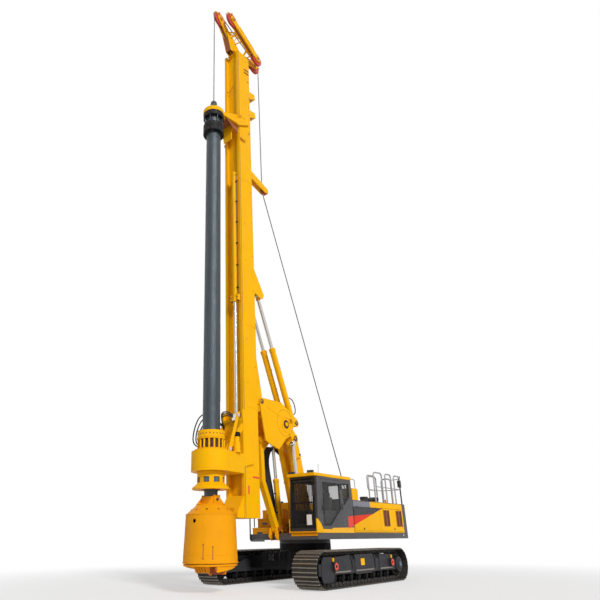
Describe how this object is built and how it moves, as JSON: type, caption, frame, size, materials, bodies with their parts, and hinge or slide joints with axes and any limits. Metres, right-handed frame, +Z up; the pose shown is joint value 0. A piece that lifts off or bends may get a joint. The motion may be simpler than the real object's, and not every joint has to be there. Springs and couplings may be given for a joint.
{
  "type": "rotary piling rig",
  "caption": "Crawler-mounted rotary piling rig with a tall upright mast, a telescopic kelly bar in a rotary drive, a drilling bucket, a parallelogram boom and a cab.",
  "frame": {"origin": "centre of the machine's plan box at ground level", "axes": "+X to the machine's left, where the cab is; -Y to its front, where the mast is; +Z up"},
  "size_m": [4.5, 10.1198, 22.2398],
  "materials": {
    "yellow_paint": "gloss",
    "orange_paint": "gloss",
    "charcoal_paint": "satin",
    "black_paint": "satin",
    "track_steel": "worn",
    "kelly_steel": "satin",
    "rod_chrome": "polished",
    "rail_steel": "satin",
    "sheave_red": "satin",
    "engine_grey": "satin",
    "rope_wire": "twisted",
    "window_glass": "clear",
    "seat_fabric": "matte"
  },
  "bodies": {
    "undercarriage": {"carbody": "black_paint", "cross_beams": "black_paint", "track_left": "track_steel", "track_right": "track_steel", "track_wheels": "black_paint", "track_frames": "charcoal_paint"},
    "house": {"house_frame": "charcoal_paint", "boom_brackets": "orange_paint", "left_housing": "yellow_paint", "right_housing": "yellow_paint", "front_steps": "orange_paint", "counterweight": "charcoal_paint", "engine_block": "engine_grey", "handrails": "rail_steel", "hood_fittings": "yellow_paint", "cab_shell": "charcoal_paint", "cab_glass": "window_glass", "cab_roof": "yellow_paint", "cab_interior": "seat_fabric", "cab_guard": "black_paint", "winch_frame": "charcoal_paint"},
    "cab_door": {"cab_door": "charcoal_paint", "door_glass": "window_glass"},
    "side_door_front": {"side_door_front": "yellow_paint"},
    "side_door_rear": {"side_door_rear": "yellow_paint"},
    "winch_drum": {"winch_drum": "charcoal_paint"},
    "boom": {"boom": "yellow_paint"},
    "lift_barrels": {"lift_cylinder_barrels": "yellow_paint"},
    "lift_rods": {"lift_cylinder_rods": "rod_chrome"},
    "front_link": {"front_link": "yellow_paint"},
    "carrier": {"mast_carrier": "yellow_paint"},
    "mast_barrels": {"mast_cylinder_barrels": "yellow_paint"},
    "mast_rods": {"mast_cylinder_rods": "rod_chrome"},
    "mast": {"mast": "yellow_paint", "mast_head": "yellow_paint", "rope_sheaves": "sheave_red", "rope_bracket": "yellow_paint", "crowd_cylinder_barrel": "yellow_paint"},
    "carriage": {"rotary_drive": "yellow_paint", "crowd_cylinder_rod": "rod_chrome"},
    "adapter": {"drive_adapter": "yellow_paint"},
    "guide": {"kelly_guide": "yellow_paint"},
    "kelly": {"kelly_bar": "kelly_steel", "bucket": "orange_paint"},
    "gate": {"bucket_gate": "orange_paint"},
    "rope_lead": {"hoist_rope_lead": "rope_wire"},
    "rope_lower": {"hoist_rope_lower": "rope_wire"},
    "rope_upper": {"hoist_rope_upper": "rope_wire"}
  },
  "joints": [
    {"name": "slew", "type": "hinge", "parent": "undercarriage", "child": "house", "pos_m": [0, 0.33, 1.18], "axis": [0, 0, 1], "continuous": true},
    {"name": "boom_lift", "type": "hinge", "parent": "house", "child": "boom", "pos_m": [0, 0.27, 1.78], "axis": [-1, 0, 0], "range_deg": [-45, 10]},
    {"name": "front_link_swing", "type": "hinge", "parent": "house", "child": "front_link", "pos_m": [0, -1.27, 1.6], "axis": [-1, 0, 0], "range_deg": [-45, 10]},
    {"name": "lift_cylinder_swing", "type": "hinge", "parent": "house", "child": "lift_barrels", "pos_m": [0, -0.45, 1.64], "axis": [-1, 0, 0], "range_deg": [-49.86, 11.47]},
    {"name": "lift_cylinder_stroke", "type": "slide", "parent": "lift_barrels", "child": "lift_rods", "axis": [0, -0.0936, 0.9956], "range_m": [-0.541, 0.128]},
    {"name": "carrier_level", "type": "hinge", "parent": "boom", "child": "carrier", "pos_m": [0, -0.45, 4.5], "axis": [-1, 0, 0], "range_deg": [-10, 45]},
    {"name": "mast_tilt", "type": "hinge", "parent": "carrier", "child": "mast", "pos_m": [0, -2.26, 5.5], "axis": [-1, 0, 0], "range_deg": [-5, 50]},
    {"name": "mast_cylinder_swing", "type": "hinge", "parent": "carrier", "child": "mast_barrels", "pos_m": [0, -0.31, 5.06], "axis": [-1, 0, 0], "range_deg": [-4.92, 44.75]},
    {"name": "mast_cylinder_stroke", "type": "slide", "parent": "mast_barrels", "child": "mast_rods", "axis": [0, -0.3901, 0.9208], "range_m": [-1.6547, 0.1745]},
    {"name": "crowd", "type": "slide", "parent": "mast", "child": "carriage", "axis": [0, 0, 1], "range_m": [-0.6, 3.6]},
    {"name": "drive_spin", "type": "hinge", "parent": "carriage", "child": "adapter", "pos_m": [0, -4.31, 2.63], "axis": [0, 0, 1], "continuous": true},
    {"name": "kelly_hoist", "type": "slide", "parent": "carriage", "child": "guide", "axis": [0, 0, 1], "range_m": [-10, 0.12]},
    {"name": "kelly_spin", "type": "hinge", "parent": "guide", "child": "kelly", "pos_m": [0, -4.31, 2.44], "axis": [0, 0, 1], "continuous": true},
    {"name": "bucket_gate", "type": "hinge", "parent": "kelly", "child": "gate", "pos_m": [0, -3.51, 0.78], "axis": [1, 0, 0], "range_deg": [0, 85]},
    {"name": "winch_spin", "type": "hinge", "parent": "house", "child": "winch_drum", "pos_m": [0, 3.33, 2.18], "axis": [1, 0, 0], "continuous": true},
    {"name": "cab_door", "type": "hinge", "parent": "house", "child": "cab_door", "pos_m": [1.622, 0.224, 2.57], "axis": [0, 0, 1], "range_deg": [0, 100]},
    {"name": "side_door_front", "type": "hinge", "parent": "house", "child": "side_door_front", "pos_m": [1.618, 1.93, 2.298], "axis": [0, -1, 0], "range_deg": [0, 80]},
    {"name": "side_door_rear", "type": "hinge", "parent": "house", "child": "side_door_rear", "pos_m": [1.618, 3.73, 2.298], "axis": [0, -1, 0], "range_deg": [0, 80]},
    {"name": "rope_lead_swing", "type": "hinge", "parent": "house", "child": "rope_lead", "pos_m": [0, 3.33, 2.18], "axis": [-1, 0, 0], "range_deg": [-9.86, 2.42]},
    {"name": "rope_swing", "type": "hinge", "parent": "rope_lead", "child": "rope_lower", "pos_m": [0, 3.55816, 2.40352], "axis": [-1, 0, 0], "range_deg": [-3.46, 31.93]},
    {"name": "rope_haul", "type": "slide", "parent": "rope_lower", "child": "rope_upper", "axis": [0, -0.3802, 0.9249], "range_m": [-4.76, 0.485]}
  ],
  "couplings": [
    {"joint": "front_link_swing", "follows": "boom_lift", "ratio": 1},
    {"joint": "lift_cylinder_swing", "follows": "boom_lift", "ratio": 1.097},
    {"joint": "lift_cylinder_stroke", "follows": "boom_lift", "m_per_rad": 0.67613},
    {"joint": "carrier_level", "follows": "boom_lift", "ratio": -1},
    {"joint": "rope_lead_swing", "follows": "boom_lift", "ratio": 0.2125},
    {"joint": "mast_cylinder_swing", "follows": "mast_tilt", "ratio": 0.88494},
    {"joint": "mast_cylinder_stroke", "follows": "mast_tilt", "m_per_rad": -1.8846},
    {"joint": "rope_swing", "follows": "mast_tilt", "ratio": 0.6325},
    {"joint": "rope_haul", "follows": "mast_tilt", "m_per_rad": -5.4431},
    {"joint": "kelly_spin", "follows": "drive_spin", "ratio": 1}
  ]
}
